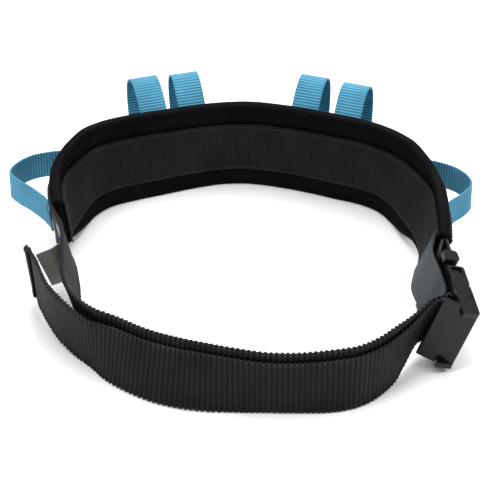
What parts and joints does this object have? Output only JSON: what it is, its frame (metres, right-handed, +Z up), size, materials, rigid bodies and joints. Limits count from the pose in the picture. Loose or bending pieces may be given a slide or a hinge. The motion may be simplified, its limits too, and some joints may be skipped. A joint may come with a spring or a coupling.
{
  "type": "patient transfer belt",
  "caption": "Padded patient transfer belt with webbing carry handles, a doubled front strap and a side-release buckle, closed in a loop.",
  "frame": {"origin": "middle of the belt's footprint, on the surface that it stands on", "axes": "+Z up along the belt's height; +Y from the front strap to the padded back; +X to the side with the buckle"},
  "size_m": [0.4088, 0.3933, 0.1031],
  "materials": {
    "foam": "closed-cell foam, matte",
    "pad_lining": "fine plain-weave nylon, matte",
    "pad_shell": "coarse plain-weave nylon, matte",
    "binding_tape": "folded grosgrain tape, slight sheen",
    "ribbed_webbing": "cross-ribbed webbing, slight sheen",
    "black_webbing": "heavy cross-ribbed webbing with beaded edges",
    "blue_webbing": "ribbed webbing, soft sheen",
    "thread": "bonded thread, slight sheen",
    "label_cloth": "woven satin, soft sheen",
    "flap_vinyl": "smooth coated fabric, satin",
    "buckle_plastic": "moulded acetal, fine grain, satin"
  },
  "bodies": {
    "belt": {"pad_foam_core": "foam", "pad_inner_lining": "pad_lining", "pad_outer_shell": "pad_shell", "pad_binding_upper": "binding_tape", "pad_binding_lower": "binding_tape", "pad_binding_left_end": "binding_tape", "pad_binding_right_end": "binding_tape", "inner_webbing_band": "ribbed_webbing", "outer_webbing_band": "black_webbing", "back_handle_sewn_ends": "blue_webbing", "back_handle_bartacks": "thread", "side_handle_sewn_ends": "blue_webbing", "care_label": "label_cloth", "buckle_guard_flap": "flap_vinyl", "anchor_loop": "black_webbing", "front_strap": "black_webbing", "strap_return": "black_webbing", "strap_wrap": "black_webbing", "female_housing": "buckle_plastic", "male_frame": "buckle_plastic", "locking_bar": "buckle_plastic"},
    "back_handle_a": {"back_handle_left_outer": "blue_webbing"},
    "back_handle_b": {"back_handle_left_inner": "blue_webbing"},
    "back_handle_c": {"back_handle_right_inner": "blue_webbing"},
    "back_handle_d": {"back_handle_right_outer": "blue_webbing"},
    "side_handle_l": {"side_handle_left": "blue_webbing"},
    "side_handle_r": {"side_handle_right": "blue_webbing"},
    "tail": {"strap_tail": "black_webbing", "strap_tail_fold": "black_webbing"},
    "latch_upper": {"latch_arm_upper": "buckle_plastic"},
    "latch_lower": {"latch_arm_lower": "buckle_plastic"}
  },
  "joints": [
    {"name": "latch_upper_squeeze", "type": "hinge", "parent": "belt", "child": "latch_upper", "pos_m": [0.1764, -0.11263, 0.06014], "axis": [-0.933, -0.2161, 0.2879], "range_deg": [0, 8], "stiffness_Nm_per_rad": 2},
    {"name": "latch_lower_squeeze", "type": "hinge", "parent": "belt", "child": "latch_lower", "pos_m": [0.16278, -0.10778, 0.01964], "axis": [0.933, 0.2161, -0.2879], "range_deg": [0, 8], "stiffness_Nm_per_rad": 2},
    {"name": "tail_swing", "type": "hinge", "parent": "belt", "child": "tail", "pos_m": [-0.11334, -0.14203, 0.02487], "axis": [0.0119, 0.0169, 0.9998], "range_deg": [0, 30]},
    {"name": "back_swing_left_outer", "type": "hinge", "parent": "belt", "child": "back_handle_a", "pos_m": [-0.07943, 0.14953, 0.05262], "axis": [0.0202, -0.0444, 0.9988], "range_deg": [-8, 20]},
    {"name": "back_swing_left_inner", "type": "hinge", "parent": "belt", "child": "back_handle_b", "pos_m": [-0.04409, 0.16146, 0.05312], "axis": [-0.0008, -0.0925, 0.9957], "range_deg": [-20, 8]},
    {"name": "back_swing_right_inner", "type": "hinge", "parent": "belt", "child": "back_handle_c", "pos_m": [0.0601, 0.15599, 0.05295], "axis": [-0.0163, -0.0739, 0.9971], "range_deg": [-8, 20]},
    {"name": "back_swing_right_outer", "type": "hinge", "parent": "belt", "child": "back_handle_d", "pos_m": [0.09796, 0.14065, 0.05271], "axis": [-0.0306, -0.0475, 0.9984], "range_deg": [-20, 8]},
    {"name": "side_swing_left", "type": "hinge", "parent": "belt", "child": "side_handle_l", "pos_m": [-0.154, 0.0819, 0.044], "axis": [-0.4093, -0.9124, 0], "range_deg": [-12, 12]},
    {"name": "side_swing_right", "type": "hinge", "parent": "belt", "child": "side_handle_r", "pos_m": [0.1685, 0.0708, 0.044], "axis": [0.4168, -0.909, 0], "range_deg": [-12, 12]}
  ],
  "couplings": [
    {"joint": "latch_lower_squeeze", "follows": "latch_upper_squeeze", "ratio": 1}
  ]
}
